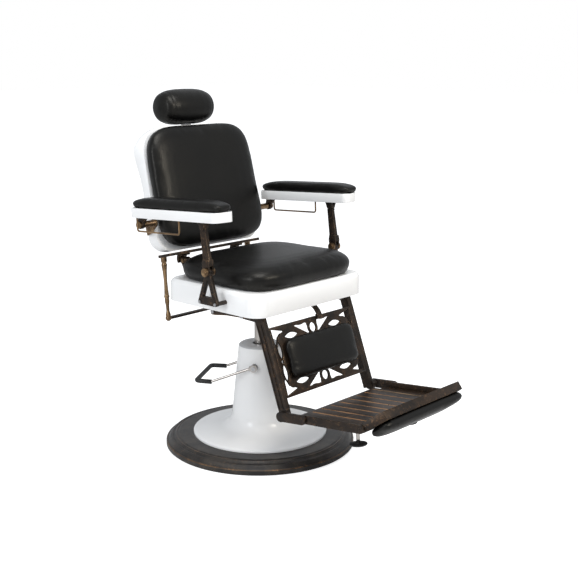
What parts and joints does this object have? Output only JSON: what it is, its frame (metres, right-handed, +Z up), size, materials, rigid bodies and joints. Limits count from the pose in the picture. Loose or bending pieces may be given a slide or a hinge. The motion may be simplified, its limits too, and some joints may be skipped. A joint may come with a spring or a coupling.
{
  "type": "hydraulic barber chair",
  "caption": "Hydraulic barber chair with round base, pump lever, upholstered seat, linked armrests, reclining back, headrest, scrolled leg rest and folding footrest.",
  "frame": {"origin": "centre of the floor pad's underside, on the axis of the column and ram", "axes": "+Z up; the chair faces -Y, with the sitter's right hand on the -X side; back, armrests and footrest at their rest places, ram at its middle height"},
  "size_m": [0.696, 1.1431, 1.2157],
  "materials": {
    "bronze": "antique bronze lacquer, rubbed edges",
    "copper": "antique copper, rubbed bright on the turnings",
    "enamel": "gloss white enamel",
    "vinyl": "semi-gloss grained black vinyl",
    "chrome": "polished",
    "steel": "plain",
    "rubber": "matt",
    "wood": "bare plywood",
    "cap_grey": "gloss grey"
  },
  "bodies": {
    "base": {"floor_pad": "rubber", "base_ring": "bronze", "pump_cover": "enamel", "cover_cap": "cap_grey", "pump_tank": "steel", "pump_cylinder": "steel", "gland_nut": "steel", "ram_seal": "rubber", "base_bolts": "steel", "lever_bushes": "steel"},
    "pump_lever": {"lever_yoke": "steel", "lever_rod": "chrome", "lever_grip": "rubber", "lever_clamps": "chrome"},
    "plunger": {"pump_plunger": "chrome"},
    "ram": {"ram": "chrome"},
    "seat": {"seat_plate": "steel", "seat_bolts": "steel", "seat_frame": "steel", "seat_board": "wood", "seat_shell": "enamel", "seat_cushion": "vinyl", "arm_bracket_right": "bronze", "arm_bracket_left": "bronze", "hinge_posts": "bronze", "hinge_pins": "copper", "leg_arms": "bronze", "leg_rails": "bronze", "scroll_panel": "bronze", "calf_board": "bronze", "calf_pad": "vinyl", "leg_brace": "bronze"},
    "back": {"back_shell": "enamel", "back_board": "wood", "back_cushion": "vinyl", "back_trim": "bronze", "hinge_bands": "bronze", "spindles": "copper", "crossbar": "bronze", "arm_pivots": "copper", "headrest_socket": "steel"},
    "headrest_post": {"headrest_post": "steel"},
    "headrest": {"headrest_bracket": "steel", "headrest_pillow": "vinyl"},
    "post_right": {"arm_post_right": "bronze"},
    "post_left": {"arm_post_left": "bronze"},
    "arm_right": {"arm_shell_right": "enamel", "arm_pad_right": "vinyl", "arm_irons_right": "bronze", "towel_wire_right": "copper"},
    "arm_left": {"arm_shell_left": "enamel", "arm_pad_left": "vinyl", "arm_irons_left": "bronze", "towel_wire_left": "copper"},
    "footrest": {"foot_tread": "bronze", "side_plates": "bronze", "foot_stems": "chrome", "foot_pads": "rubber"},
    "toe_board": {"toe_frame": "bronze", "toe_pad": "vinyl"}
  },
  "joints": [
    {"name": "ram_lift", "type": "slide", "parent": "base", "child": "ram", "axis": [0, 0, 1], "range_m": [-0.12, 0.05]},
    {"name": "seat_swivel", "type": "hinge", "parent": "ram", "child": "seat", "pos_m": [0, 0, 0.5], "axis": [0, 0, 1], "continuous": true},
    {"name": "lever_pivot", "type": "hinge", "parent": "base", "child": "pump_lever", "pos_m": [0, 0, 0.29], "axis": [-0.866, -0.5, 0], "range_deg": [0, 28], "stiffness_Nm_per_rad": 4, "springref_deg": -28.65},
    {"name": "plunger_slide", "type": "slide", "parent": "base", "child": "plunger", "axis": [0, 0, -1], "range_m": [0, 0.034]},
    {"name": "recline", "type": "hinge", "parent": "seat", "child": "back", "pos_m": [0, 0.23, 0.636], "axis": [-1, 0, 0], "range_deg": [0, 22]},
    {"name": "post_right_pivot", "type": "hinge", "parent": "seat", "child": "post_right", "pos_m": [-0.31, -0.073, 0.665], "axis": [-1, 0, 0], "range_deg": [0, 23]},
    {"name": "post_left_pivot", "type": "hinge", "parent": "seat", "child": "post_left", "pos_m": [0.31, -0.073, 0.665], "axis": [-1, 0, 0], "range_deg": [0, 23]},
    {"name": "arm_right_pivot", "type": "hinge", "parent": "back", "child": "arm_right", "pos_m": [-0.31, 0.248, 0.78], "axis": [-1, 0, 0], "range_deg": [-23, 0]},
    {"name": "arm_left_pivot", "type": "hinge", "parent": "back", "child": "arm_left", "pos_m": [0.31, 0.248, 0.78], "axis": [-1, 0, 0], "range_deg": [-23, 0]},
    {"name": "headrest_slide", "type": "slide", "parent": "back", "child": "headrest_post", "axis": [0, 0.247, 0.969], "range_m": [0, 0.08]},
    {"name": "headrest_tilt", "type": "hinge", "parent": "headrest_post", "child": "headrest", "pos_m": [0, 0.36765, 1.15173], "axis": [-1, 0, 0], "range_deg": [-10, 12]},
    {"name": "footrest_hinge", "type": "hinge", "parent": "seat", "child": "footrest", "pos_m": [0, -0.405, 0.234], "axis": [-1, 0, 0], "range_deg": [0, 75]},
    {"name": "toe_hinge", "type": "hinge", "parent": "footrest", "child": "toe_board", "pos_m": [0, -0.62586, 0.25643], "axis": [-1, 0, 0], "range_deg": [0, 130]}
  ],
  "couplings": [
    {"joint": "plunger_slide", "follows": "lever_pivot", "m_per_rad": 0.064},
    {"joint": "post_right_pivot", "follows": "recline", "ratio": 1},
    {"joint": "post_left_pivot", "follows": "recline", "ratio": 1},
    {"joint": "arm_right_pivot", "follows": "recline", "ratio": -1},
    {"joint": "arm_left_pivot", "follows": "recline", "ratio": -1}
  ]
}
